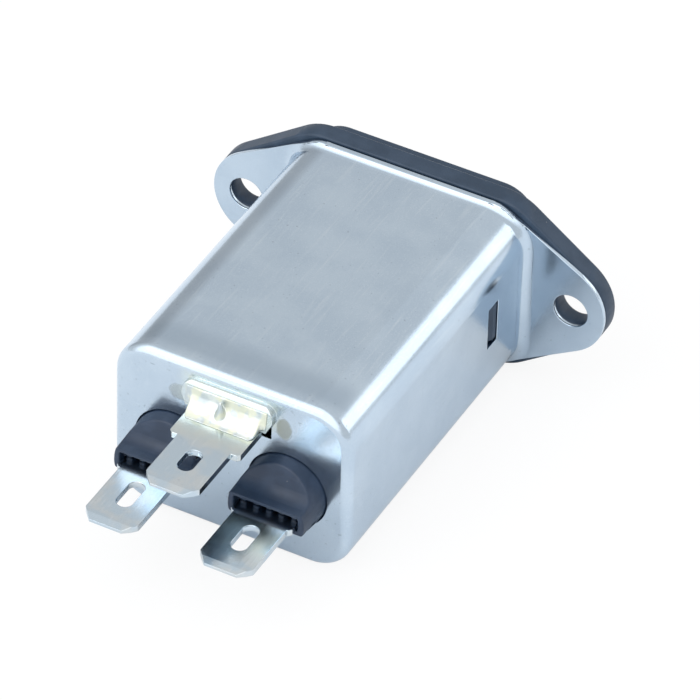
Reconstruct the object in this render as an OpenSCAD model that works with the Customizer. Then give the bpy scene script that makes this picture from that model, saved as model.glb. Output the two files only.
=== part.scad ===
// Line filter with a mains inlet: one drawn metal can with its flange, a moulded inlet in its mouth,
// three flat terminals at its far end, and the choke, capacitors and wiring that it holds inside.
// X runs from one screw hole to the other, Y from the inlet to the terminals, Z up to the earth side.
// The origin lies midway between the screw holes, on the face of the metal flange that meets a panel.

/* [Flange] */
// Distance between the two screw holes
hole_pitch = 40; // [38:0.5:43]
// Diameter of the screw holes
hole_d = 4.1; // [3:0.1:5]
// Radius of the rounded ear round each hole
ear_r = 6.05; // [5:0.05:7]
// How far the centre of an ear's arc sits inward of its hole
ear_inset = 2; // [0.5:0.1:3]
// Height of the metal flange
flange_h = 22.2; // [22.2:0.1:25]
// Length of the straight top edge of the metal flange
crown_w = 20.4; // [19:0.2:22]
// Radius of the corners between straight edge and ear
crown_r = 3.7; // [3:0.1:4.2]

/* [Can] */
// Thickness of the sheet that the can is drawn from
sheet_t = 0.5; // [0.4:0.05:0.6]
// Width of the can
can_w = 28.4; // [28.2:0.1:29]
// Height of the can
can_h = 21.4; // [21.2:0.1:21.6]
// Depth of the can, from the flange to its flat end
can_l = 39.2; // [39:0.2:46]
// Radius of the four long edges
can_r = 4.6; // [4:0.1:5]
// Radius round the flat end
end_r = 1.1; // [0.8:0.1:1.6]
// Inner radius of the bend between can and flange
root_r = 1.2; // [0.8:0.1:1.5]
// Height of the latch windows in the narrow sides
window_h = 5.4; // [4:0.1:7]
// Length of the latch windows along the can
window_l = 2.2; // [1.8:0.1:3]
// Distance from the flange to the near edge of the windows
window_y = 5.85; // [4:0.05:7]
// Height of the middle of the windows above the axis
window_z = 0.7; // [-1:0.1:2]

/* [Earth lug] */
// Width of the hood that is pressed out over the earth terminal
lug_w = 10.8; // [10.2:0.1:12]
// Height of the top of the hood above the axis
lug_top = 9.3; // [9:0.1:9.5]
// How far the top of the hood stands out
lug_out = 0.9; // [0.8:0.05:1.2]
// Lean of the hood's front from upright
lug_lean = 10; // [4:1:16]
// Room below the earth terminal in its slot
slot_room = 0.85; // [0.4:0.05:1]

/* [Terminals] */
// Thickness of the terminal strip
tab_t = 0.8; // [0.7:0.05:0.9]
// Width of the terminal blades
tab_w = 6.3; // [5.6:0.1:6.6]
// Distance of the line and neutral terminals from the middle
tab_x = 6.85; // [6.7:0.05:7.1]
// Height of the line and neutral terminals above the axis
tab_z = -1.58; // [-1.8:0.01:-1.4]
// Height of the earth terminal above the axis
earth_z = 5.87; // [5.8:0.01:6]
// Length of the line and neutral blades past the can
tab_out = 14.4; // [13:0.2:17]
// Length of the earth terminal past the can
earth_out = 13.7; // [12.5:0.1:17]
// Width of the oblong holes
tab_hole_w = 1.9; // [1.5:0.1:2.4]
// Length of the oblong holes in the line and neutral blades
tab_hole_l = 4.2; // [3:0.1:4.6]
// Length of the oblong hole in the earth blade
earth_hole_l = 3.45; // [2.5:0.05:4]
// Distance from a hole to the tip of its blade
tab_hole_edge = 3.2; // [2.5:0.1:4]
// Width of the shoulders at the mouth of a bushing
shoulder_w = 7.3; // [7:0.1:7.5]
// Width of the root of the earth terminal
earth_root_w = 8.4; // [7.6:0.1:8.8]

/* [Bushings] */
// Diameter of the bushings
plug_d = 9.1; // [8.8:0.1:9.3]
// Gap between a bushing and its hole in the can
plug_gap = 0.15; // [0.05:0.05:0.2]
// How far the round part stands out above the nose
plug_step = 1.6; // [1:0.1:2]
// Slope of the face above the nose
plug_slope = 67; // [60:1:75]
// How far the nose reaches past the can
nose_out = 4.85; // [4.6:0.05:5.4]
// Thickness of the nose
nose_h = 2.7; // [2.6:0.05:3]
// Radius of the hollow between the sloped face and the nose
nose_r = 1.6; // [1:0.1:1.8]
// Number of ribs in the mouth of the nose
rib_n = 5; // [3:1:5]
// Spacing of those ribs
rib_pitch = 1.5; // [1.3:0.05:1.55]

/* [Inlet] */
// Thickness of the moulded flange
mould_t = 2.35; // [2:0.05:3.5]
// How far the moulded outline stands past the metal one, above and below
mould_lip = 0.23; // [0.2:0.01:0.6]
// Height of the raised middle of the front
plateau_t = 1.45; // [0.6:0.05:2]
// Gap between the moulding and the inside of the can
mould_gap = 0.2; // [0.1:0.05:0.3]
// Thickness of the moulding's wall on each side of the recess for the mains plug
mould_wall = 1.3; // [1.2:0.1:1.5]
// Height of the recess
recess_h = 16.4; // [16:0.1:16.8]
// Depth of the recess
recess_d = 16.8; // [16:0.1:17]
// Size of the two cut corners on the earth side
recess_cut = 4.6; // [4:0.1:5]

/* [Pins] */
// Width of a pin
pin_w = 2; // [1.8:0.05:2.2]
// Height of a pin
pin_h = 4; // [3.8:0.05:4.2]
// Distance of the outer pins from the middle
pin_x = 7; // [6.8:0.05:7.2]
// Distance of the pins from the axis, above and below
pin_z = 2; // [1.8:0.05:2.2]
// Free length of the line and neutral pins
pin_l = 13.6; // [12.5:0.1:14.5]
// Free length of the earth pin
earth_pin_l = 15.4; // [14.5:0.1:15.8]

/* [Choke] */
// Hole of the ring core, as a share of the core's diameter
core_share = 0.54; // [0.52:0.01:0.56]
// Height of the core
core_h = 6.4; // [5.5:0.1:6.6]
// Diameter of the winding wire
wire_d = 0.9; // [0.7:0.05:0.95]

/* [Capacitors and resistor] */
// Width of the capacitor between line and neutral
xcap_w = 17.6; // [15:0.2:18]
// Thickness of that capacitor
xcap_t = 5; // [4:0.1:5.2]
// Diameter of the two disc capacitors
disc_d = 7; // [6.4:0.1:7.2]
// Thickness of the disc capacitors
disc_t = 3.2; // [2.6:0.1:3.6]
// Diameter of the leads of capacitors and resistor
lead_d = 0.7; // [0.5:0.05:0.75]
// Length of the resistor's body
resistor_l = 6.4; // [5:0.1:8]
// Diameter of the resistor's body
resistor_d = 2.2; // [1.8:0.1:2.3]

/* [Hidden] */
$fn = 64;
eps = 0.01;               // overshoot of a cutting shape past the face it cuts
rest_gap = 0.02;          // room left between parts that only lie on each other
bend_swell = 0.02;        // swelling of a wire where it is bent
// Faces along Y
flange_front = -sheet_t;
mould_front = flange_front - mould_t;
plateau_front = mould_front - plateau_t;
recess_floor = plateau_front + recess_d;
floor_t = 2.6;
mould_back = recess_floor + floor_t;
can_floor = can_l - sheet_t;
// Inside of the can
in_w = can_w - 2 * sheet_t;
in_h = can_h - 2 * sheet_t;
in_r = can_r - sheet_t;
ear_x = hole_pitch / 2 - ear_inset;
// Moulding
mould_crown_w = crown_w + 0.6;
mould_crown_r = crown_r + 2.7;
sink_d = hole_d + 0.6;    // chamfer of a screw hole on the front
sink_t = 0.3;
block_w = in_w - 2 * mould_gap;
block_h = in_h - 2 * mould_gap;
block_r = in_r - mould_gap;
plateau_w = block_w;
plateau_h = flange_h - 1;
plateau_r = 4;
recess_w = block_w - 2 * mould_wall;
recess_r = 1.5;
latch_gap = 0.2;          // room round a latch in its window
latch_flat = 0.7;         // length of a latch before its slope
// Earth lug
lug_r = 1.3;              // corner radius of the hood, seen from the terminals
lug_edge_r = 0.7;         // radius of its upper front edge
lug_neck_w = 9.6;         // width at its open lower edge
lug_neck_h = 1.2;         // height over which its sides draw in
earth_top = earth_z + tab_t / 2;
lug_low = earth_top + 0.05;
slot_low = earth_z - tab_t / 2 - slot_room;
// Bushings
plug_z = tab_z + 0.18;
collar_d = plug_d + 1.7;
collar_t = 1.3;
collar_face = can_floor - collar_t;
plug_low_step = 1.2;      // how far the round part stands out below the nose
nose_low = tab_z - tab_t / 2 - 0.52;
nose_top = nose_low + nose_h;
nose_face = can_l + nose_out;
mouth_w = shoulder_w + 0.3;
mouth_h = 0.85;           // open height above the blade
mouth_d = 2;
rib_w = 0.75;
rib_back = 0.7;           // distance of the ribs behind the face of the nose
blade_gap = 0.04;         // room round a blade in its bushing
// Blades
shoulder_in = 0.8;        // length of the shoulders inside the mouth
shoulder_out = 1.1;       // length of the shoulders outside the mouth
shoulder_cut = 0.35;
tip_cut = [1.2, 1.4];
bevel = [0.85, 0.22];
earth_shoulder = 5.8;     // reach of the earth terminal's wide root past the can
tail_w = 4;
tail_back = can_l - 7.2;  // inner end of all three terminals
tail_step = collar_face - 0.5;
// Solder on the earth terminal
solder_w = 8.3;
solder_reach = lug_out + 2.8;
solder_rise = 2.3;
solder_r = 2.65;          // radius of its hollow
peak_x = 0.3;
peak_y = can_l + lug_out + 0.85;
peak_d = [1.5, 0.25];
peak_h = 2.6;
// Pin tails
pin_tip = 0.7;
pin_fit = 0.02;
pin_tail_t = 0.8;
pin_tail_l = 3.6;
// Choke
wire_gap = 0.16;          // stands for the enamel and the coating of the core
coil_front = mould_back + 1.75;
coil_back = can_l - 6.15;
core_y = (coil_front + coil_back) / 2;
core_d = coil_back - coil_front - 2 * (wire_gap + wire_d);
core_hole_d = core_share * core_d;
core_edge_r = 0.9;
divider_t = 0.8;
divider_gap = 0.06;
divider_h = 1;            // height of the divider's arms over the core
liner_t = 0.25;
liner_gap = 0.05;
liner_end_gap = 0.3;
liner_floor = -in_h / 2 + liner_gap + liner_t;
core_z = liner_floor + rest_gap + wire_d + wire_gap + core_h / 2;
coil_out_r = core_d / 2 + wire_gap + wire_d / 2;
coil_in_r = core_hole_d / 2 - wire_gap - wire_d / 2;
coil_h = core_h / 2 + wire_gap + wire_d / 2;
wire_arc = 68;            // a winding covers the core from -wire_arc to +wire_arc
turn_gap = 0.15;          // least room between turns inside the core
turns = 1 + floor(coil_in_r * PI * wire_arc / 90 / (wire_d + turn_gap));
// Places of the other parts inside
part_room = 1.3;          // room between the capacitors, and beside them
disc_y = can_l - 6.3;
disc_z = 5.4;
disc_x = in_w / 2 - disc_d / 2 - part_room;
disc_edge_r = 0.8;
disc_lead_pitch = 5;
disc_tab_x = 6;           // where a disc's lower lead meets the line or neutral terminal
disc_earth_x = 1.3;       // where its upper lead meets the earth terminal
xcap_front = mould_back + 4.8;
xcap_l = disc_y - disc_t / 2 - part_room - xcap_front;
xcap_low = core_z + coil_h + wire_d / 2 + wire_gap;
xcap_edge_r = 0.6;
xcap_lead_z = xcap_low + 1.6;
xcap_lead_x = pin_x + 1.3;
xcap_hole = [mould_back + 1.2, -pin_z + 1.2];
resistor_z = xcap_low + xcap_t + resistor_d / 2 + rest_gap;
resistor_y = xcap_front + 3;
resistor_lead_x = 9.7;
resistor_cap = 0.18 * resistor_l;
resistor_waist = 0.15;
resistor_hole = [mould_back + 1.2, -pin_z - 1.1];
wire_end = 1.2;           // a wire's end stands this far past the hole it is put through
wire_hole_d = wire_d + 0.1;
lead_hole_d = lead_d + 0.1;
lead_end = 0.6;
coil_tab = [tab_x + 0.35, can_l - 4];
earth_wire_d = 1.2;
earth_wire_hole_d = earth_wire_d + 0.1;
earth_wire_y = mould_back + 2;
earth_wire_z = pin_z + 0.8;
earth_wire_side = 1.3;
earth_wire_end = can_l - 4.6;

// ---- Ways to draw ----

// A shape of X and Z, drawn from y0 to y1
module along_y(y0, y1) {
    translate([0, y1, 0]) rotate([90, 0, 0]) linear_extrude(height = y1 - y0) children();
}

// A shape of Y and Z, drawn from x0 to x1
module along_x(x0, x1) {
    translate([x0, 0, 0]) rotate([90, 0, 90]) linear_extrude(height = x1 - x0) children();
}

// A shape of X and Y, drawn from z0 to z1
module along_z(z0, z1) {
    translate([0, 0, z0]) linear_extrude(height = z1 - z0) children();
}

// Cylinder from y0 to y1
module bar_y(d, y0, y1, x = 0, z = 0) {
    translate([x, y0, z]) rotate([-90, 0, 0]) cylinder(d = d, h = y1 - y0);
}

// Round wire through a list of points, with a slightly larger ball at each bend
module wire(d, points) {
    for (i = [0 : len(points) - 2]) {
        v = points[i + 1] - points[i];
        translate(points[i]) rotate([0, acos(v[2] / norm(v)), atan2(v[1], v[0])]) cylinder(d = d, h = norm(v));
    }
    for (i = [1 : len(points) - 2]) translate(points[i]) sphere(d = d + bend_swell);
}

module round_rect(w, h, r) {
    square([w - 2 * r, h], center = true);
    square([w, h - 2 * r], center = true);
    for (x = [-1, 1], z = [-1, 1]) translate([x * (w / 2 - r), z * (h / 2 - r)]) circle(r);
}

// Its copy on the neutral side
module neutral_side() {
    mirror([1, 0, 0]) children();
}

// ---- Flange outline: round ears joined to the crown's corners by their common tangents ----

function tangent_turn(c1, r1, c2, r2) =
    let (v = c2 - c1) atan2(v[1], v[0]) - acos((r1 - r2) / norm(v));

module flange_outline(w, h, r) {
    ear = [ear_x, 0];
    corner = [w / 2, h / 2 - r];
    a = tangent_turn(ear, ear_r, corner, r);
    n = [cos(a), sin(a)];
    q = [ear + ear_r * n, corner + r * n, corner + [0, r]];
    polygon(concat(
        q,
        [for (i = [2 : -1 : 0]) [-q[i][0], q[i][1]]],
        [for (i = [0 : 2]) [-q[i][0], -q[i][1]]],
        [for (i = [2 : -1 : 0]) [q[i][0], -q[i][1]]]));
    for (x = [-1, 1]) {
        translate([x * ear[0], 0]) circle(ear_r);
        for (z = [-1, 1]) translate([x * corner[0], z * corner[1]]) circle(r);
    }
}

module screw_holes(y0, y1) {
    for (x = [-1, 1]) bar_y(hole_d, y0, y1, x * hole_pitch / 2);
}

// ---- Drawn can: four turned corners and four straight walls share one section ----

// Section of distance and Y: rounded at the closed end, rolled outward at the open end
module drawn_section(r, end_y, edge_r, roll_r, front_y) {
    translate([0, front_y]) square([r, end_y - edge_r - front_y]);
    translate([0, front_y]) square([r - edge_r, end_y - front_y]);
    translate([r - edge_r, end_y - edge_r]) circle(edge_r);
    difference() {
        translate([r - eps, front_y]) square([roll_r + eps, root_r - front_y]);
        translate([r + roll_r, root_r]) circle(roll_r);
    }
}

module drawn_form(w, h, r, end_y, edge_r, roll_r, front_y) {
    x = w / 2 - r;
    z = h / 2 - r;
    for (i = [-1, 1], k = [-1, 1])
        translate([i * x, 0, k * z]) rotate([-90, 0, 0]) rotate_extrude()
            drawn_section(r, end_y, edge_r, roll_r, front_y);
    for (k = [0, 1]) {
        along_x(-x, x) mirror([0, k]) translate([0, z]) mirror([1, -1])
            drawn_section(r, end_y, edge_r, roll_r, front_y);
        along_z(-z, z) mirror([k, 0]) translate([x, 0])
            drawn_section(r, end_y, edge_r, roll_r, front_y);
    }
    along_x(-x, x) translate([front_y, -z]) square([end_y - front_y, 2 * z]);
}

// Hood over the earth terminal, set in by a distance from its outer face
module lug_form(inset, y0) {
    half = lug_w / 2 - inset;
    neck = lug_neck_w / 2 - inset;
    top = lug_top - inset;
    r = lug_r - inset;
    c = [can_l + lug_out - lug_edge_r, lug_top - lug_edge_r];
    edge_r = max(lug_edge_r - inset, eps);
    tip = c + edge_r * [cos(lug_lean), sin(lug_lean)];
    foot = [tip[0] + (tip[1] - lug_low + inset) * tan(lug_lean), lug_low - inset];
    intersection() {
        along_y(y0, can_l + 4) {
            polygon([
                [-neck, lug_low - inset], [neck, lug_low - inset], [half, lug_low + lug_neck_h],
                [half, top - r], [half - r, top], [r - half, top], [-half, top - r],
                [-half, lug_low + lug_neck_h]]);
            for (x = [-1, 1]) translate([x * (half - r), top - r]) circle(r);
        }
        along_x(-lug_w, lug_w) {
            polygon([[y0, lug_low - inset], foot, tip, c + [0, edge_r], [y0, c[1] + edge_r]]);
            translate(c) circle(edge_r);
        }
    }
}

module case() {
    color("#c3cad1") difference() {
        union() {
            intersection() {
                drawn_form(can_w, can_h, can_r, can_l, end_r, root_r, flange_front);
                union() {
                    along_y(flange_front, 2 * root_r) flange_outline(crown_w, flange_h, crown_r);
                    along_y(root_r, can_l) square([can_w, can_h], center = true);
                }
            }
            along_y(flange_front, 0) flange_outline(crown_w, flange_h, crown_r);
            lug_form(0, can_floor);
        }
        drawn_form(in_w, in_h, in_r, can_floor, end_r - sheet_t, root_r + sheet_t, flange_front - eps);
        lug_form(sheet_t, can_floor - eps);
        along_y(can_floor - eps, can_l + eps) translate([-lug_neck_w / 2, slot_low])
            square([lug_neck_w, lug_low - slot_low]);
        screw_holes(flange_front - eps, eps);
        for (x = [-1, 1]) {
            bar_y(plug_d + 2 * plug_gap, can_floor - eps, can_l + eps, x * tab_x, plug_z);
            translate([x * can_w / 2, window_y + window_l / 2, window_z])
                cube([4 * sheet_t, window_l, window_h], center = true);
        }
    }
}

// ---- Inlet ----

module recess_outline() {
    difference() {
        round_rect(recess_w, recess_h, recess_r);
        for (x = [-1, 1]) translate([x * recess_w / 2, recess_h / 2]) rotate(45)
            square(recess_cut * sqrt(2), center = true);
    }
}

// Latch on the +X side that snaps into the can's window
module latch() {
    y = window_y + latch_gap;
    x = block_w / 2;
    out = can_w / 2 - 0.1;
    along_z(window_z - window_h / 2 + latch_gap, window_z + window_h / 2 - latch_gap)
        polygon([
            [x - 0.5, y], [out, y], [out, y + latch_flat],
            [x, window_y + window_l - latch_gap], [x - 0.5, window_y + window_l - latch_gap]]);
}

// The three pins' sections, wider all round by a clearance
module pin_sections(gap) {
    for (p = [[-pin_x, -pin_z], [pin_x, -pin_z], [0, pin_z]]) translate(p)
        square([pin_w + 2 * gap, pin_h + 2 * gap], center = true);
}

module inlet_body() {
    color("#20232c") difference() {
        union() {
            along_y(mould_front, flange_front)
                flange_outline(mould_crown_w, flange_h + 2 * mould_lip, mould_crown_r);
            along_y(plateau_front, mould_front) round_rect(plateau_w, plateau_h, plateau_r);
            along_y(flange_front, mould_back) round_rect(block_w, block_h, block_r);
            latch();
            mirror([1, 0, 0]) latch();
        }
        screw_holes(mould_front - eps, 0);
        for (x = [-1, 1]) translate([x * hole_pitch / 2, mould_front - eps, 0]) rotate([-90, 0, 0])
            cylinder(d1 = sink_d, d2 = hole_d, h = sink_t);
        along_y(plateau_front - eps, recess_floor) recess_outline();
        along_y(recess_floor - eps, mould_back + eps) pin_sections(pin_fit);
    }
}

// Pin with four faces drawn in at its tip and a thin tail behind the moulding
module pin(x, z, free_l) {
    tip = recess_floor - free_l;
    tail = mould_back + pin_tail_l;
    translate([x, 0, z]) {
        intersection() {
            along_z(-pin_h, pin_h) polygon([
                [-pin_w / 2, tip + pin_tip], [-pin_w / 4, tip], [pin_w / 4, tip],
                [pin_w / 2, tip + pin_tip], [pin_w / 2, mould_back], [-pin_w / 2, mould_back]]);
            along_x(-pin_w, pin_w) polygon([
                [tip + pin_tip, -pin_h / 2], [tip, pin_tip - pin_h / 2], [tip, pin_h / 2 - pin_tip],
                [tip + pin_tip, pin_h / 2], [mould_back, pin_h / 2], [mould_back, -pin_h / 2]]);
        }
        along_x(-pin_tail_t / 2, pin_tail_t / 2) {
            translate([mould_back - eps, -pin_h / 2]) square([pin_tail_l - 1 + eps, pin_h]);
            translate([mould_back - eps, 1 - pin_h / 2]) square([pin_tail_l + eps, pin_h - 2]);
            for (k = [-1, 1]) translate([tail - 1, k * (pin_h / 2 - 1)]) circle(1);
        }
    }
}

// Hole across a pin's tail at a point of Y and Z
module tail_hole(d, x, at) {
    translate([x, at[0], at[1]]) rotate([0, 90, 0]) cylinder(d = d, h = 2 * pin_tail_t, center = true);
}

module line_pin() {
    color("#c9ccd0") difference() {
        pin(-pin_x, -pin_z, pin_l);
        tail_hole(wire_hole_d, -pin_x, [coil_start[1], coil_start[2]]);
        tail_hole(lead_hole_d, -pin_x, xcap_hole);
        tail_hole(lead_hole_d, -pin_x, resistor_hole);
    }
}

module neutral_pin() {
    neutral_side() line_pin();
}

module earth_pin() {
    color("#c9ccd0") difference() {
        pin(0, pin_z, earth_pin_l);
        tail_hole(earth_wire_hole_d, 0, [earth_wire_y, earth_wire_z]);
    }
}

// ---- Bushings ----

// Side view of Y and Z: round part, hollow above the nose, nose
module plug_side() {
    top = plug_z + plug_d / 2;
    knee = can_l + plug_step + (top - nose_top) / tan(plug_slope);
    t = nose_r * tan(plug_slope / 2);
    c = [knee + t, nose_top + nose_r];
    difference() {
        polygon([
            [collar_face, plug_z - plug_d], [can_l + plug_low_step, plug_z - plug_d],
            [can_l + plug_low_step, nose_low], [nose_face, nose_low], [nose_face, nose_top],
            [c[0], nose_top], c, [knee - t * cos(plug_slope), nose_top + t * sin(plug_slope)],
            [can_l + plug_step, top], [can_l + plug_step, plug_z + plug_d],
            [collar_face, plug_z + plug_d]]);
        translate(c) circle(nose_r);
    }
}

module line_bushing() {
    low = tab_z - tab_t / 2 - blade_gap / 2;
    color("#1e2128") difference() {
        union() {
            intersection() {
                bar_y(plug_d, collar_face, nose_face, -tab_x, plug_z);
                along_x(-tab_x - plug_d, plug_d - tab_x) plug_side();
            }
            bar_y(collar_d, collar_face, can_floor, -tab_x, plug_z);
        }
        translate([-tab_x, 0, 0]) {
            // passage of the blade, and the pocket of its shoulders
            along_y(collar_face - eps, nose_face + eps) translate([-tab_w / 2 - blade_gap, low])
                square([tab_w + 2 * blade_gap, tab_t + blade_gap]);
            along_y(nose_face - shoulder_in - blade_gap, nose_face + eps) translate([-mouth_w / 2, low])
                square([mouth_w, tab_t + blade_gap]);
            // mouth above the blade, with its ribs left standing
            difference() {
                along_y(nose_face - mouth_d, nose_face + eps) translate([-mouth_w / 2, low])
                    square([mouth_w, tab_t + blade_gap + mouth_h]);
                along_y(nose_face - mouth_d - eps, nose_face - rib_back) {
                    for (i = [0 : rib_n - 1])
                        translate([(i - (rib_n - 1) / 2) * rib_pitch - rib_w / 2, low + tab_t + blade_gap])
                            square([rib_w, mouth_h + eps]);
                }
                along_y(nose_face - mouth_d - eps, nose_face - shoulder_in - blade_gap)
                    for (k = [-1, 1]) translate([k * (tab_w / 2 + blade_gap + 1), low - eps])
                        translate([-1, 0]) square([2, tab_t + blade_gap + eps]);
            }
        }
    }
}

module neutral_bushing() {
    neutral_side() line_bushing();
}

// ---- Terminals ----

// Flat blade along Y: narrow tail, root and shoulders, cut corners and an oblong hole near the tip
module blade(root_w, root_y, shoulder_y, tip_y, hole_l, z) {
    h = tab_w / 2;
    s = root_w / 2;
    t = tail_w / 2;
    intersection() {
        along_z(z - tab_t / 2, z + tab_t / 2) difference() {
            polygon([
                [-t, tail_back], [t, tail_back], [t, tail_step], [h, tail_step], [h, root_y],
                [s, root_y], [s, shoulder_y - shoulder_cut], [s - shoulder_cut, shoulder_y],
                [h, shoulder_y], [h, tip_y - tip_cut[1]], [h - tip_cut[0], tip_y],
                [tip_cut[0] - h, tip_y], [-h, tip_y - tip_cut[1]], [-h, shoulder_y],
                [shoulder_cut - s, shoulder_y], [-s, shoulder_y - shoulder_cut], [-s, root_y],
                [-h, root_y], [-h, tail_step], [-t, tail_step]]);
            translate([0, tip_y - tab_hole_edge - hole_l / 2])
                round_rect(tab_hole_w, hole_l, tab_hole_w / 2 - eps);
        }
        along_x(-s, s) polygon([
            [tail_back, z - tab_t / 2], [tip_y - bevel[0], z - tab_t / 2],
            [tip_y, z - tab_t / 2 + bevel[1]], [tip_y, z + tab_t / 2 - bevel[1]],
            [tip_y - bevel[0], z + tab_t / 2], [tail_back, z + tab_t / 2]]);
    }
}

module line_terminal() {
    color("#b9b8b2") translate([-tab_x, 0, 0]) difference() {
        blade(shoulder_w, nose_face - shoulder_in, nose_face + shoulder_out,
            can_l + tab_out, tab_hole_l, tab_z);
        translate([tab_x - disc_tab_x, disc_y, tab_z]) cylinder(d = lead_hole_d, h = 2 * tab_t, center = true);
        translate([tab_x - coil_tab[0], coil_tab[1], tab_z])
            cylinder(d = wire_hole_d, h = 2 * tab_t, center = true);
    }
}

module neutral_terminal() {
    neutral_side() line_terminal();
}

module earth_terminal() {
    color("#b9b8b2") difference() {
        blade(earth_root_w, tail_step, can_l + earth_shoulder, can_l + earth_out, earth_hole_l, earth_z);
        for (x = [-1, 1]) translate([x * disc_earth_x, disc_y, earth_z])
            cylinder(d = lead_hole_d, h = 2 * tab_t, center = true);
        translate([0, earth_wire_end, earth_z]) cylinder(d = earth_wire_hole_d, h = 2 * tab_t, center = true);
    }
}

// Hollow fillet between the hood's front and the blade, with the peak the iron left
module earth_solder() {
    lean = tan(lug_lean);
    c = [can_l + lug_out - lug_edge_r, lug_top - lug_edge_r];
    tip = c + lug_edge_r * [cos(lug_lean), sin(lug_lean)];
    foot = tip[0] + (tip[1] - lug_low) * lean;
    high = earth_top + solder_rise;
    reach = can_l + solder_reach;
    color("#aeb0ad") {
        intersection() {
            along_x(-solder_w / 2, solder_w / 2) difference() {
                polygon([
                    [foot, earth_top], [reach, earth_top], [reach, high],
                    [tip[0] + (tip[1] - high) * lean, high], [foot, lug_low]]);
                translate([reach, earth_top + solder_r]) circle(solder_r);
            }
            along_z(earth_top, high) translate([0, can_l]) round_rect(solder_w, 2 * solder_reach, 1.5);
        }
        translate([peak_x, peak_y, earth_top]) cylinder(d1 = peak_d[0], d2 = peak_d[1], h = peak_h);
    }
}

// ---- Choke ----

module choke_core() {
    h = core_h / 2;
    color("#3f6b4a") translate([0, core_y, core_z]) rotate_extrude()
        translate([(core_d + core_hole_d) / 4, 0])
            round_rect((core_d - core_hole_d) / 2, 2 * h, core_edge_r);
}

// Plate across the core's hole, with arms that lie on the core
module choke_divider() {
    hole = core_hole_d - 2 * divider_gap;
    color("#d8d4c6") translate([0, core_y, core_z]) along_x(-divider_t / 2, divider_t / 2) {
        translate([-hole / 2, -coil_h]) square([hole, coil_h + core_h / 2 + divider_h]);
        translate([-core_d / 2 + core_edge_r, core_h / 2 + rest_gap])
            square([core_d - 2 * core_edge_r, divider_h - rest_gap]);
    }
}

// Point of the line winding at turn k, at a radius and height over the core's middle
function coil_point(k, r, h) =
    let (a = 180 + wire_arc - k * 2 * wire_arc / (turns - 1))
    [r * cos(a), core_y + r * sin(a), core_z + h];

coil_start = coil_point(0, coil_out_r, coil_h);
coil_finish = coil_point(turns - 1, coil_out_r, -coil_h);
coil_over = tab_z + tab_t / 2 + wire_d / 2 + 0.25;

module line_winding() {
    color("#a5572e") wire(wire_d, concat(
        [[-pin_x - wire_end, coil_start[1], coil_start[2]]],
        [for (k = [0 : turns - 1]) each [
            coil_point(k, coil_out_r, coil_h), coil_point(k, coil_in_r, coil_h),
            coil_point(k, coil_in_r, -coil_h), coil_point(k, coil_out_r, -coil_h)]],
        [[coil_finish[0], coil_finish[1], coil_over],
         [coil_finish[0], coil_tab[1], coil_over],
         [-coil_tab[0], coil_tab[1], coil_over],
         [-coil_tab[0], coil_tab[1], tab_z - tab_t / 2 - lead_end]]));
}

module neutral_winding() {
    neutral_side() line_winding();
}

// ---- Capacitors and resistor ----

module x_capacitor() {
    color("#d9a521") along_z(xcap_low, xcap_low + xcap_t)
        translate([0, xcap_front + xcap_l / 2]) round_rect(xcap_w, xcap_l, xcap_edge_r);
}

module x_capacitor_line_lead() {
    color("#c8ccd0") wire(lead_d, [
        [-xcap_lead_x, xcap_front, xcap_lead_z], [-xcap_lead_x, xcap_hole[0], xcap_lead_z],
        [-xcap_lead_x, xcap_hole[0], xcap_hole[1]], [-pin_x + lead_end, xcap_hole[0], xcap_hole[1]]]);
}

module x_capacitor_neutral_lead() {
    neutral_side() x_capacitor_line_lead();
}

module line_y_capacitor() {
    color("#2f6fb0") translate([-disc_x, disc_y - disc_t / 2, disc_z]) rotate([-90, 0, 0]) rotate_extrude() {
        square([disc_d / 2 - disc_edge_r, disc_t]);
        square([disc_d / 2, disc_t - disc_edge_r]);
        translate([disc_d / 2 - disc_edge_r, disc_t - disc_edge_r]) circle(disc_edge_r);
    }
}

// A disc's lead that starts inside its rim, at a height over its middle
module disc_lead(h, x, low) {
    color("#c8ccd0") difference() {
        wire(lead_d, [[-disc_x, disc_y, disc_z + h], [-x, disc_y, disc_z + h], [-x, disc_y, low]]);
        bar_y(disc_d, disc_y - disc_t, disc_y + disc_t, -disc_x, disc_z);
    }
}

module line_y_capacitor_live_lead() {
    disc_lead(-disc_lead_pitch / 2, disc_tab_x, tab_z - tab_t / 2 - lead_end);
}

module line_y_capacitor_earth_lead() {
    disc_lead(disc_lead_pitch / 2, disc_earth_x, earth_z - tab_t / 2 - lead_end);
}

module neutral_y_capacitor() {
    neutral_side() line_y_capacitor();
}

module neutral_y_capacitor_live_lead() {
    neutral_side() line_y_capacitor_live_lead();
}

module neutral_y_capacitor_earth_lead() {
    neutral_side() line_y_capacitor_earth_lead();
}

module bleed_resistor() {
    color("#c9b48a") translate([-resistor_l / 2, resistor_y, resistor_z]) rotate([0, 90, 0])
        rotate_extrude() {
            square([resistor_d / 2 - resistor_waist, resistor_l]);
            square([resistor_d / 2, resistor_cap]);
            translate([0, resistor_l - resistor_cap]) square([resistor_d / 2, resistor_cap]);
        }
}

module bleed_resistor_line_lead() {
    color("#c8ccd0") wire(lead_d, [
        [-resistor_l / 2, resistor_y, resistor_z], [-resistor_lead_x, resistor_y, resistor_z],
        [-resistor_lead_x, resistor_hole[0], resistor_z],
        [-resistor_lead_x, resistor_hole[0], resistor_hole[1]],
        [-pin_x + lead_end, resistor_hole[0], resistor_hole[1]]]);
}

module bleed_resistor_neutral_lead() {
    neutral_side() bleed_resistor_line_lead();
}

// ---- Wire between earth pin and earth terminal, and the liner ----

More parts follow.
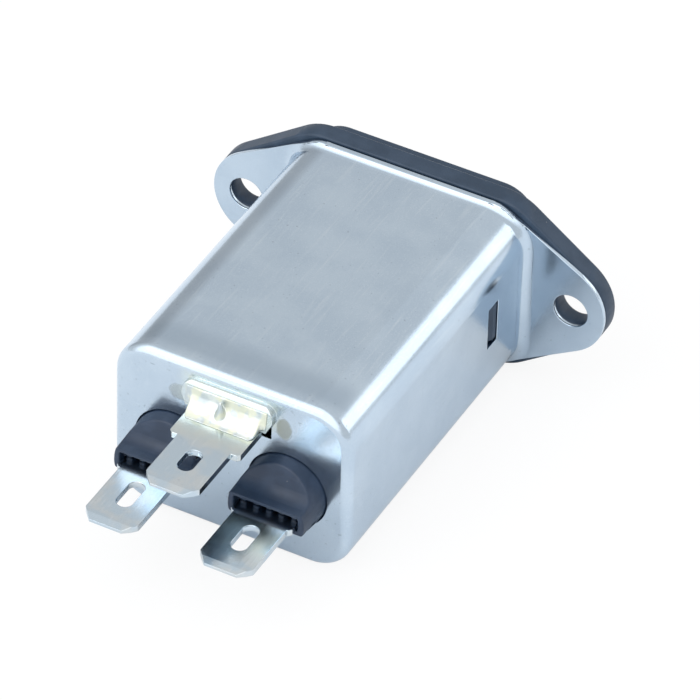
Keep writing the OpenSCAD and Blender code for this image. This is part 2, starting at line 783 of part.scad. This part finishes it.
module earth_wire() {
    over = earth_top + earth_wire_d / 2 + 0.1;
    color("#7f9c3a") wire(earth_wire_d, [
        [-earth_wire_side, earth_wire_y, earth_wire_z], [earth_wire_side, earth_wire_y, earth_wire_z],
        [earth_wire_side, earth_wire_y, over], [0, earth_wire_end, over],
        [0, earth_wire_end, earth_z - tab_t / 2 - lead_end]]);
}

module insulating_liner() {
    w = in_w - 2 * liner_gap;
    h = in_h - 2 * liner_gap;
    r = in_r - liner_gap;
    color("#e3dccb") along_y(mould_back + liner_end_gap, collar_face - liner_end_gap) difference() {
        round_rect(w, h, r);
        round_rect(w - 2 * liner_t, h - 2 * liner_t, r - liner_t);
    }
}

case();
inlet_body();
line_pin();
neutral_pin();
earth_pin();
line_bushing();
neutral_bushing();
line_terminal();
neutral_terminal();
earth_terminal();
earth_solder();
choke_core();
choke_divider();
line_winding();
neutral_winding();
x_capacitor();
x_capacitor_line_lead();
x_capacitor_neutral_lead();
line_y_capacitor();
line_y_capacitor_live_lead();
line_y_capacitor_earth_lead();
neutral_y_capacitor();
neutral_y_capacitor_live_lead();
neutral_y_capacitor_earth_lead();
bleed_resistor();
bleed_resistor_line_lead();
bleed_resistor_neutral_lead();
earth_wire();
insulating_liner();
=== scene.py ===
# %% [markdown]
# # A line filter with a mains inlet
# The object is a small metal can with a flange. A moulded inlet sits in its mouth, and three flat
# terminals leave its far end. Its solids come ready made in model.glb, so this lesson gives them
# their finishes, makes the soldered joint in detail, and sets up the light and the camera.

# %% Load the solids and keep the size of their box
import math
import bmesh
import bpy
from mathutils import Matrix, Vector, noise


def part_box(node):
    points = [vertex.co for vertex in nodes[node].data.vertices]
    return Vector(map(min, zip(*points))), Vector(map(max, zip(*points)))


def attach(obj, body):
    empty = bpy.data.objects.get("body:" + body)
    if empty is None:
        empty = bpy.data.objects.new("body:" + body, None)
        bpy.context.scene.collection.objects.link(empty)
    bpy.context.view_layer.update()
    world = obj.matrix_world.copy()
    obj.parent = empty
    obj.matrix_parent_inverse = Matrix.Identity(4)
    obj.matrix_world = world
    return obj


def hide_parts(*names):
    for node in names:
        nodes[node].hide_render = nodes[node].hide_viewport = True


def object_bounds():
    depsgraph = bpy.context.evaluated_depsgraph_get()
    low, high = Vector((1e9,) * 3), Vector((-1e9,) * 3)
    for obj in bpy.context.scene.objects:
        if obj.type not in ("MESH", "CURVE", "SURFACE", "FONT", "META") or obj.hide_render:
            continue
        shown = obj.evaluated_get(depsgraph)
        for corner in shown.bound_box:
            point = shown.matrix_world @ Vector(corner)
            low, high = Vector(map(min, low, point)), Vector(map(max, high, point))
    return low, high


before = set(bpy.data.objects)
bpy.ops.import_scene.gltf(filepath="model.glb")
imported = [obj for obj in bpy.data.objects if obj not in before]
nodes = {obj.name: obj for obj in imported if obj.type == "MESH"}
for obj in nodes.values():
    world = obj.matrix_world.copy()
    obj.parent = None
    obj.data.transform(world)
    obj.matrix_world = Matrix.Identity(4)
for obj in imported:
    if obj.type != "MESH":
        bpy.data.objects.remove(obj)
cad_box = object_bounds()
MM = 0.001
print("solids:", len(nodes), "box in mm:", [[round(c / MM, 2) for c in corner] for corner in cad_box])

# %% [markdown]
# ## The camera
# A long lens from well above and beyond the terminals keeps the can's edges nearly parallel and shows
# its far end, its top and one narrow side at once. The matrix is written out from its three axes,
# because a camera that is aimed by hand is hard to set the same way twice.

# %% The camera
CAMERA_PLACE = Vector((-0.261898, 0.517647, 0.476800))
CAMERA_RIGHT = (-0.87865, -0.47694, 0.02226)
CAMERA_UP = (0.32321, -0.55983, 0.76297)
CAMERA_BACK = (-0.35143, 0.67758, 0.64605)
LENS = 355.1
SENSOR = 36
NEAREST, FARTHEST = 0.05, 20

scene = bpy.context.scene
scene.view_settings.view_transform = "Standard"
camera = bpy.data.objects.new("camera", bpy.data.cameras.new("camera"))
camera.data.lens = LENS
camera.data.sensor_width = SENSOR
camera.data.clip_start = NEAREST
camera.data.clip_end = FARTHEST
turned = Matrix((CAMERA_RIGHT, CAMERA_UP, CAMERA_BACK)).transposed().to_4x4()
camera.matrix_world = Matrix.Translation(CAMERA_PLACE) @ turned
scene.collection.objects.link(camera)
scene.camera = camera
print("camera stands", round(CAMERA_PLACE.length, 3), "m off, lens", LENS, "mm")


# %% [markdown]
# ## A short way to write shader maths
# A finish is a sum of patterns: clouds, grain, streaks, stains. Written as nodes one by one it is hard
# to read, so a small class wraps a socket and turns + - * / into Math nodes. Colours are mixed by the
# Mix node, and one method makes every other kind of node.

# %% Sockets that add and multiply, and a finish that holds them
class Signal:
    def __init__(self, finish, out):
        self.finish, self.out = finish, out

    def math(self, operation, other=0.0, swap=False):
        a, b = (other, self) if swap else (self, other)
        return self.finish.make("ShaderNodeMath", {"operation": operation}, {0: a, 1: b})

    def __add__(self, other): return self.math("ADD", other)
    def __radd__(self, other): return self.math("ADD", other)
    def __sub__(self, other): return self.math("SUBTRACT", other)
    def __rsub__(self, other): return self.math("SUBTRACT", other, swap=True)
    def __mul__(self, other): return self.math("MULTIPLY", other)
    def __rmul__(self, other): return self.math("MULTIPLY", other)
    def __truediv__(self, other): return self.math("DIVIDE", other)
    def high(self, other): return self.math("MAXIMUM", other)
    def size(self): return self.math("ABSOLUTE")

    def ramp(self, start, end):
        """0 below start, 1 above end, and soft between them."""
        return self.finish.make("ShaderNodeMapRange", {"interpolation_type": "SMOOTHSTEP"},
                                {"Value": self, "From Min": start, "From Max": end})


class Finish:
    def __init__(self, name, tree=None):
        if tree is None:
            self.material = bpy.data.materials.new(name)
            self.material.use_nodes = True
            tree = self.material.node_tree
            self.shader = tree.nodes["Principled BSDF"]
        self.tree = tree
        self.place = None

    def make(self, kind, settings=None, inputs=None, out=0):
        node = self.tree.nodes.new(kind)
        for key, value in (settings or {}).items():
            setattr(node, key, value)
        for key, value in (inputs or {}).items():
            if isinstance(value, Signal):
                self.tree.links.new(value.out, node.inputs[key])
            else:
                node.inputs[key].default_value = value
        return Signal(self, node.outputs[out])

    def start(self):
        """Object coordinates in millimetres, and their three numbers."""
        raw = self.make("ShaderNodeTexCoord", out="Object")
        self.place = self.make("ShaderNodeVectorMath", {"operation": "SCALE"}, {0: raw, "Scale": 1 / MM})
        return [self.make("ShaderNodeSeparateXYZ", inputs={0: self.place}, out=i) for i in range(3)]

    def stretch(self, x, y, z):
        return self.make("ShaderNodeVectorMath", {"operation": "MULTIPLY"}, {0: self.place, 1: (x, y, z)})

    def clouds(self, per_mm, detail=2.0, rough=0.5, at=None):
        return self.make("ShaderNodeTexNoise", {}, {"Vector": at or self.place, "Scale": per_mm,
                                                    "Detail": detail, "Roughness": rough})

    def cells(self, per_mm, out="Distance"):
        return self.make("ShaderNodeTexVoronoi", {}, {"Vector": self.place, "Scale": per_mm}, out=out)

    def blend(self, base, top, mask):
        return self.make("ShaderNodeMix", {"data_type": "RGBA"},
                         {0: mask, 6: colour(base), 7: colour(top)}, out=2)

    def relief(self, height, depth_mm, strength):
        return self.make("ShaderNodeBump", {},
                         {"Height": height, "Distance": depth_mm * MM, "Strength": strength})

    def finish(self, **sockets):
        """Links or sets the shader's sockets: base_color becomes Base Color."""
        for key, value in sockets.items():
            name = " ".join(w.upper() if w == "ior" else w.capitalize() for w in key.split("_"))
            socket = self.shader.inputs[name]
            if isinstance(value, Signal):
                self.tree.links.new(value.out, socket)
            else:
                socket.default_value = colour(value)
        return self.material


def colour(value):
    """Three numbers become a colour with full alpha; anything else stays as it is."""
    return (*value, 1.0) if isinstance(value, (tuple, list)) and len(value) == 3 else value


print("shader maths ready")

# %% [markdown]
# ## The tent and its lamps
# Plated metal shows its surroundings more than its own colour. The object lies in a bright tent: white
# all round, brightest behind and above the camera, a little darker to one side. The bright part draws
# a broad white line along every bend that turns toward it. A world whose brightness depends on the
# direction makes the tent, and two large area lamps add what a world alone does not: a soft key light
# over the terminals and a weaker one low on the far side.

# %% The tent: a world that is pale all round
TENT_LIGHT = 0.90
BRIGHT_SIDE = Vector((0.15, 0.72, 0.68)).normalized()
BRIGHT_MORE = 1.0
BRIGHT_RIM = (0.45, 0.80)   # cosines between which the bright side comes up
DARK_SIDE = Vector((0.76, -0.64, 0.12)).normalized()
DARK_LESS = 0.34
DARK_RIM = (0.72, 0.98)

world = bpy.data.worlds.new("tent")
world.use_nodes = True
scene.world = world
tent = Finish("tent", world.node_tree)
facing = tent.make("ShaderNodeTexCoord", out="Generated")


def toward(direction):
    """Cosine of the angle between a ray and a direction."""
    return tent.make("ShaderNodeVectorMath", {"operation": "DOT_PRODUCT"},
                     {0: facing, 1: direction}, out="Value")


glow = toward(BRIGHT_SIDE).ramp(*BRIGHT_RIM)
shade = toward(DARK_SIDE).ramp(*DARK_RIM)
camera_ray = tent.make("ShaderNodeLightPath", out="Is Camera Ray")
level = (glow * BRIGHT_MORE + TENT_LIGHT) * (1.0 - shade * DARK_LESS)
background = world.node_tree.nodes["Background"]
world.node_tree.links.new(level.high(camera_ray).out, background.inputs["Strength"])
background.inputs["Color"].default_value = (1, 1, 1, 1)
print("tent lights at", TENT_LIGHT, "and up to", TENT_LIGHT + BRIGHT_MORE)

# %% Two soft lamps
LAMP_DISTANCE = 1.2


def soft_lamp(name, direction, size, radiance):
    """A flat lamp that faces the object, with a stated brightness of its surface."""
    data = bpy.data.lights.new(name, "AREA")
    data.shape = "RECTANGLE"
    data.size, data.size_y = size
    data.energy = radiance * math.pi * size[0] * size[1]
    lamp = bpy.data.objects.new(name, data)
    way = Vector(direction).normalized()
    lamp.rotation_mode = "QUATERNION"
    lamp.rotation_quaternion = way.to_track_quat("Z", "Y")
    lamp.location = way * LAMP_DISTANCE
    scene.collection.objects.link(lamp)
    print(name, "gives", round(data.energy, 2), "W")


soft_lamp("lamp_over_terminals", direction=(0.30, 0.55, 0.78), size=(0.55, 0.45), radiance=2.4)
soft_lamp("lamp_low_side", direction=(-0.65, -0.68, 0.36), size=(0.9, 0.55), radiance=1.12)

# %% [markdown]
# ## The floor
# A plain pale sheet just under the object. The camera sees it almost as white as the tent, with a part
# of its true shading left so that the object keeps its shadow. Gloss sees all of the true shading:
# the dark of the contact shadow is what gives the lower parts of the plated can their depth.

# %% A sheet of paper under the object
FLOOR_HALF = 4.0
FLOOR_GAP = 0.1 * MM
FLOOR_WHITENING = 0.88   # share of white that only the camera adds to the floor's own shading

floor_mesh = bmesh.new()
bmesh.ops.create_grid(floor_mesh, x_segments=1, y_segments=1, size=FLOOR_HALF,
                      matrix=Matrix.Translation((0, 0, cad_box[0].z - FLOOR_GAP)))
floor_data = bpy.data.meshes.new("studio_floor")
floor_mesh.to_mesh(floor_data)
floor_mesh.free()
floor = bpy.data.objects.new("studio_floor", floor_data)
scene.collection.objects.link(floor)

paper = Finish("floor_paper")
paper.finish(base_color=(0.82, 0.84, 0.86), roughness=0.9, specular_ior_level=0.1)
lit = Signal(paper, paper.shader.outputs[0])
white = paper.make("ShaderNodeEmission", inputs={"Color": (1, 1, 1, 1), "Strength": 1.0})
seen = paper.make("ShaderNodeLightPath", out="Is Camera Ray")
mixed = paper.make("ShaderNodeMixShader", inputs={0: seen * FLOOR_WHITENING, 1: lit, 2: white})
paper.tree.links.new(mixed.out, paper.tree.nodes["Material Output"].inputs["Surface"])
floor_data.materials.append(paper.material)
print("floor lies at z", round(floor_data.vertices[0].co.z / MM, 2), "mm")

# %% [markdown]
# ## Softened edges
# Pressed sheet and moulded plastic never end in a knife edge: a tiny round catches the light. The
# solids arrive as triangles with their own normals. A Weld joins them and a Bevel rounds every edge
# that turns sharply, both live, so the solids themselves stay untouched.

# %% Round the sharp edges of a solid
MERGE = 0.2e-5
SHARP_TURN = 32   # an edge that turns by more degrees than this gets a round


def soften(name, width_mm):
    piece = nodes[name]
    weld = piece.modifiers.new("weld", "WELD")
    weld.merge_threshold = MERGE
    bevel = piece.modifiers.new("round", "BEVEL")
    bevel.width = width_mm * MM
    bevel.segments = 2
    bevel.limit_method = "ANGLE"
    bevel.angle_limit = math.radians(SHARP_TURN)
    bevel.use_clamp_overlap = False
    bevel.miter_outer = "MITER_ARC"
    bevel.harden_normals = True


ROUND_MM = {"line_terminal": 0.07, "neutral_terminal": 0.07, "earth_terminal": 0.07,
            "line_bushing": 0.22, "neutral_bushing": 0.22, "inlet_body": 0.25, "case": 0.07,
            "line_pin": 0.12, "neutral_pin": 0.12, "earth_pin": 0.12}
for name, width in ROUND_MM.items():
    soften(name, width)
print("softened", len(ROUND_MM), "solids")

# %% [markdown]
# ## Nickel plate
# The can is deep-drawn from steel and plated in a barrel, which leaves a bright skin, a little blue,
# with fine grain, faint lines in the direction of drawing and soft clouds. Toward the closed end the
# top has a painted darker band, a painted reflection. Round the hood the skin is dulled by flux from
# soldering. Above each bushing a dark spot is a flux stain that dulls the plate, with a painted
# reflection of the bushing in its colour. All of it is written in the can's own millimetres.

# %% The can's skin
def spot(x, z, at, radii, rag):
    """1 inside an oval of the X-Z plane with a ragged rim."""
    u = (x - at[0]) / radii[0]
    v = (z - at[1]) / radii[1]
    return 1.0 - (u * u + v * v + rag).ramp(0.55, 1.1)


PAINTED_BAND_COMES, PAINTED_BAND_GOES = (32.5, 35.5), (36.5, 38.2)   # along the can, where the painted darker band (a painted reflection) comes and goes
PAINTED_BAND_LEVEL = (9.5, 10.5)                             # the painted darker band lies above this height
CLOSED_END = (39.0, 39.15)                           # where the can's end face begins
FILM_HALF = 6.2                                      # half the width of the flux film
FILM_FOOT, FILM_TOP = (5.2, 6.6), (9.0, 10.4)        # heights between which the film lies


def nickel_plate():
    f = Finish("nickel_plate")
    x, y, z = f.start()
    cloud = f.clouds(0.16, 3.0)
    grain = f.clouds(9.0, 2.0, 0.6)
    drawn = f.clouds(2.4, 2.0, at=f.stretch(1.0, 0.06, 1.0))
    fleck = f.clouds(7.5, 1.0, 0.5).ramp(0.60, 0.70)
    pit = f.clouds(3.1, 0.0, 0.5).ramp(0.80, 0.84)
    # painted reflection: a darker band on the top toward the closed end
    painted_reflection_band = y.ramp(*PAINTED_BAND_COMES) * (1.0 - y.ramp(*PAINTED_BAND_GOES)) * z.ramp(*PAINTED_BAND_LEVEL)
    rear = y.ramp(*CLOSED_END)
    rag = (f.clouds(1.6, 3.0) - 0.5) * 1.6
    skin = f.blend((0.455, 0.545, 0.640), (0.500, 0.590, 0.680), cloud.ramp(0.35, 0.65))
    skin = f.blend(skin, (0.560, 0.640, 0.710), drawn.ramp(0.55, 0.8) * 0.5)
    skin = f.blend(skin, (0.66, 0.74, 0.80), fleck * 0.35)
    skin = f.blend(skin, (0.20, 0.24, 0.28), pit * 0.4)
    # painted reflection: the colour of the darker band on the top
    skin = f.blend(skin, (0.330, 0.410, 0.490), painted_reflection_band * 0.55)
    film = (1.0 - (x.size() / FILM_HALF).ramp(0.75, 1.1)) * z.ramp(*FILM_FOOT)
    film = film * (1.0 - z.ramp(*FILM_TOP)) * rear
    skin = f.blend(skin, (0.64, 0.67, 0.53), film * (0.45 + rag * 0.35).ramp(0.1, 0.9))
    # dark spots above the bushings: a flux stain that dulls the plate, with a painted reflection of each
    # bushing
    stain_and_painted_reflection = spot(x, z, at=(-6.3, 6.6), radii=(1.0, 1.5), rag=rag * 0.35)
    stain_and_painted_reflection = stain_and_painted_reflection.high(spot(x, z, at=(6.2, 6.4), radii=(1.3, 1.2), rag=rag * 0.5) * 0.6) * rear
    # the spots' dark colour is partly stain and partly a painted reflection of the bushings
    skin = f.blend(skin, (0.22, 0.22, 0.15), stain_and_painted_reflection * 0.62)
    dull = (film * 0.5).high(stain_and_painted_reflection)
    rough = 0.17 + (grain - 0.5) * 0.14 + (cloud - 0.5) * 0.08 + dull * 0.20
    bump = f.relief(grain * 0.7 + drawn * 0.5, 0.012, 0.5)
    return f.finish(base_color=skin, metallic=1.0 - dull * 0.35, roughness=rough, normal=bump)


def dress(material, *names):
    """Gives a finish to solids, in place of the one they came with."""
    for name in names:
        nodes[name].data.materials.clear()
        nodes[name].data.materials.append(material)
    print(material.name, "on", ", ".join(names))


dress(nickel_plate(), "case")

# %% [markdown]
# ## Tinned blades
# The terminals are stamped from brass strip and tinned. Tin is softer and warmer than nickel, with
# short rubbed lines along the blade and a little tarnish. The low roughness lets a blade mirror what
# stands beside it. At the root of the earth blade the tin keeps a haze of flux.

# %% Blades and pins
HAZE_FADES = (43.0, 46.0)   # along the blade
HAZE_LEVEL = (5.0, 5.4)     # the haze lies above this height


def tinned_blade():
    f = Finish("tinned_blade")
    _, y, z = f.start()
    cloud = f.clouds(0.35, 3.0)
    grain = f.clouds(12.0, 2.0, 0.6)
    rubbed = f.clouds(3.2, 3.0, at=f.stretch(1.0, 0.12, 1.0))
    rag = f.clouds(1.5, 4.0, 0.65) - 0.5
    skin = f.blend((0.490, 0.575, 0.645), (0.560, 0.600, 0.620), cloud.ramp(0.4, 0.62))
    skin = f.blend(skin, (0.66, 0.71, 0.75), rubbed.ramp(0.58, 0.80) * 0.5)
    skin = f.blend(skin, (0.60, 0.63, 0.56), (1.0 - y.ramp(*HAZE_FADES)) * z.ramp(*HAZE_LEVEL) * 0.6)
    tarnish = f.clouds(4.5, 3.0, 0.7).ramp(0.55, 0.75) * (rag + 0.5).ramp(0.45, 0.7)
    skin = f.blend(skin, (0.25, 0.27, 0.27), tarnish * 0.35)
    rough = 0.16 + (grain - 0.5) * 0.12 + (cloud - 0.5) * 0.08
    bump = f.relief(grain * 0.5 + rubbed, 0.012, 0.45)
    return f.finish(base_color=skin, metallic=1.0, roughness=rough, normal=bump)


def plated_pin():
    f = Finish("plated_pin")
    f.start()
    rubbed = f.clouds(3.0, 3.0, at=f.stretch(1.0, 0.1, 1.0))
    skin = f.blend((0.56, 0.58, 0.60), (0.68, 0.70, 0.70), rubbed.ramp(0.4, 0.7))
    return f.finish(base_color=skin, metallic=1.0, roughness=0.22 + rubbed * 0.12,
                    normal=f.relief(rubbed, 0.01, 0.4))


dress(tinned_blade(), "line_terminal", "neutral_terminal", "earth_terminal")
dress(plated_pin(), "line_pin", "neutral_pin", "earth_pin")

# %% [markdown]
# ## Dark mouldings
# Inlet and bushings are moulded from glass-filled polyester or nylon, nearly black with a blue cast.
# The mould's spark-eroded walls leave a fine matt texture, and a few grains of dust sit on it.

# %% Plastic of the inlet and of the bushings
def moulding(name, deep, pale, roughness):
    f = Finish(name)
    f.start()
    cloud = f.clouds(0.5, 3.0)
    spark = f.clouds(7.0, 3.0, 0.6)
    dust = 1.0 - f.cells(0.9).ramp(0.035, 0.055)
    keep = f.cells(0.9, out="Color")
    chosen = f.make("ShaderNodeSeparateColor", inputs={0: keep}).ramp(0.80, 0.82)
    skin = f.blend(deep, pale, cloud.ramp(0.35, 0.7))
    skin = f.blend(skin, (0.16, 0.17, 0.18), dust * chosen)
    return f.finish(base_color=skin, roughness=roughness + (spark - 0.5) * 0.2, specular_ior_level=0.38,
                    normal=f.relief(spark, 0.02, 0.45))


dress(moulding("dark_moulding", (0.0160, 0.0330, 0.0600), (0.0240, 0.0440, 0.0760), 0.50),
      "inlet_body")
dress(moulding("dark_bushing", (0.0125, 0.0255, 0.0520), (0.0190, 0.0350, 0.0680), 0.42),
      "line_bushing", "neutral_bushing")

# %% [markdown]
# ## The parts inside
# Nobody sees them while the can is shut, but each gets the finish it has on the bench: a green coated
# ring core, enamelled copper, a yellow capacitor box, blue dipped discs, tinned leads.

# %% One recipe for painted, dipped and pressed parts
def plain_skin(name, dark, light, per_mm, roughness, metallic=0.0, depth=0.02):
    f = Finish(name)
    f.start()
    cloud = f.clouds(per_mm, 3.0, 0.6)
    skin = f.blend(dark, light, cloud.ramp(0.35, 0.65))
    return f.finish(base_color=skin, metallic=metallic, roughness=roughness + (cloud - 0.5) * 0.15,
                    normal=f.relief(cloud, depth, 0.5))


dress(plain_skin("core_coating", (0.030, 0.090, 0.045), (0.045, 0.125, 0.065), 1.2, 0.38), "choke_core")
dress(plain_skin("enamelled_copper", (0.42, 0.13, 0.045), (0.62, 0.24, 0.09), 1.5, 0.24, 0.9),
      "line_winding", "neutral_winding")
dress(plain_skin("pale_fibre", (0.55, 0.51, 0.42), (0.70, 0.66, 0.56), 3.0, 0.8), "choke_divider")
dress(plain_skin("yellow_case", (0.62, 0.33, 0.02), (0.74, 0.42, 0.03), 0.8, 0.35), "x_capacitor")
dress(plain_skin("blue_epoxy", (0.02, 0.11, 0.34), (0.03, 0.16, 0.44), 1.4, 0.28, depth=0.05),
      "line_y_capacitor", "neutral_y_capacitor")
dress(plain_skin("tinned_lead", (0.55, 0.56, 0.56), (0.70, 0.71, 0.71), 4.0, 0.3, 1.0),
      *[name for name in nodes if name.endswith("_lead")])
dress(plain_skin("resistor_body", (0.50, 0.37, 0.20), (0.60, 0.46, 0.26), 1.5, 0.4), "bleed_resistor")
dress(plain_skin("liner_board", (0.62, 0.56, 0.44), (0.74, 0.69, 0.57), 2.0, 0.85, depth=0.03),
      "insulating_liner")

# %% [markdown]
# ## The earth wire
# Protective earth is marked by a green sheath with a yellow stripe that runs along the wire. The stripe
# is a soft step over the wire's own coordinates, so it needs no unwrapping.

# %% The striped sheath of the earth wire
STRIPE_EDGE = (0.45, 0.55)
STRIPE_SLANT = 0.2


def striped_sheath():
    f = Finish("wire_sheath")
    x, _, z = f.start()
    stripe = (x + z * STRIPE_SLANT).ramp(*STRIPE_EDGE)
    grain = f.clouds(4.0, 2.0)
    skin = f.blend((0.06, 0.26, 0.05), (0.66, 0.55, 0.03), stripe)
    return f.finish(base_color=skin, roughness=0.42 + (grain - 0.5) * 0.1, normal=f.relief(grain, 0.02, 0.3))


dress(striped_sheath(), "earth_wire")

# %% [markdown]
# ## The soldered joint
# Solder wets hood and blade and freezes in a hollow, uneven fillet with a drawn-up peak. The solid
# holds its main form. Here a copy of it is merged with a thin leaning slab, which is the skin of
# solder on the hood's front. A voxel remesh joins the two, smoothing rounds them, and a little noise
# pushes the skin about, because a frozen puddle has no straight line in it.

# %% Solder made from the solid
SKIN_MIDDLE = Vector((0, 40.32, 7.72)) * MM
SKIN_SIZE = (9.6, 0.26, 2.2)   # width, thickness and height of the skin on the hood, in mm
SKIN_LEAN = 10
SMOOTHINGS = 6
WAVE_LONG, WAVE_SHORT = 0.9 * MM, 0.35 * MM
FOOT = 0.3 * MM      # height over which the skin's waves grow from nothing
LIFT = 0.01 * MM     # least height of the skin above the solid's own foot
SAME_POINT = 1e-6


def puddle(node, name, grain_mm, swell_mm):
    keep = nodes[node]
    data = keep.data.copy()
    work = bmesh.new()
    work.from_mesh(data)
    bmesh.ops.remove_doubles(work, verts=work.verts, dist=SAME_POINT)
    lean = Matrix.Rotation(math.radians(SKIN_LEAN), 4, "X")
    placed = Matrix.Translation(SKIN_MIDDLE) @ lean @ Matrix.Diagonal((*SKIN_SIZE, 1))
    bmesh.ops.create_cube(work, size=MM, matrix=placed)
    work.to_mesh(data)
    work.free()
    piece = bpy.data.objects.new(name, data)
    scene.collection.objects.link(piece)
    remesh = piece.modifiers.new("remesh", "REMESH")
    remesh.mode = "VOXEL"
    remesh.voxel_size = grain_mm * MM
    bpy.context.view_layer.update()
    fine = bpy.data.meshes.new_from_object(piece.evaluated_get(bpy.context.evaluated_depsgraph_get()))
    piece.modifiers.clear()
    piece.data = fine
    floor_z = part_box(node)[0].z
    work = bmesh.new()
    work.from_mesh(fine)
    for _ in range(SMOOTHINGS):
        bmesh.ops.smooth_vert(work, verts=work.verts, factor=0.5,
                              use_axis_x=True, use_axis_y=True, use_axis_z=True)
    work.normal_update()
    for v in work.verts:
        lift = min(1.0, max(0.0, (v.co.z - floor_z) / FOOT))
        wave = noise.noise(v.co / WAVE_LONG) + 0.5 * noise.noise(v.co / WAVE_SHORT)
        v.co += v.normal * wave * swell_mm * MM * lift
        v.co.z = max(v.co.z, floor_z + LIFT)
    for face in work.faces:
        face.smooth = True
    work.to_mesh(fine)
    work.free()
    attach(piece, "root")
    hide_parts(node)
    print(name, "has", len(fine.polygons), "faces")
    return piece


joint = puddle("earth_solder", "solder_joint", grain_mm=0.08, swell_mm=0.035)


# %% The finish of the solder
def solder_skin():
    f = Finish("solder")
    f.start()
    cloud = f.clouds(0.8, 3.0)
    frost = f.clouds(7.0, 3.0, 0.65)
    flux = f.clouds(0.9, 2.0).ramp(0.46, 0.62)
    skin = f.blend((0.50, 0.56, 0.58), (0.66, 0.70, 0.68), cloud.ramp(0.4, 0.65))
    skin = f.blend(skin, (0.66, 0.66, 0.46), flux * 0.55)
    return f.finish(base_color=skin, metallic=1.0 - flux * 0.5, roughness=0.26 + frost * 0.16 + flux * 0.12,
                    coat_weight=flux * 0.5, normal=f.relief(frost, 0.02, 0.5))


joint.data.materials.clear()
joint.data.materials.append(solder_skin())
print(joint.name, "wears", joint.data.materials[0].name)

# %% [markdown]
# ## The end

# %% The end
print("the end")
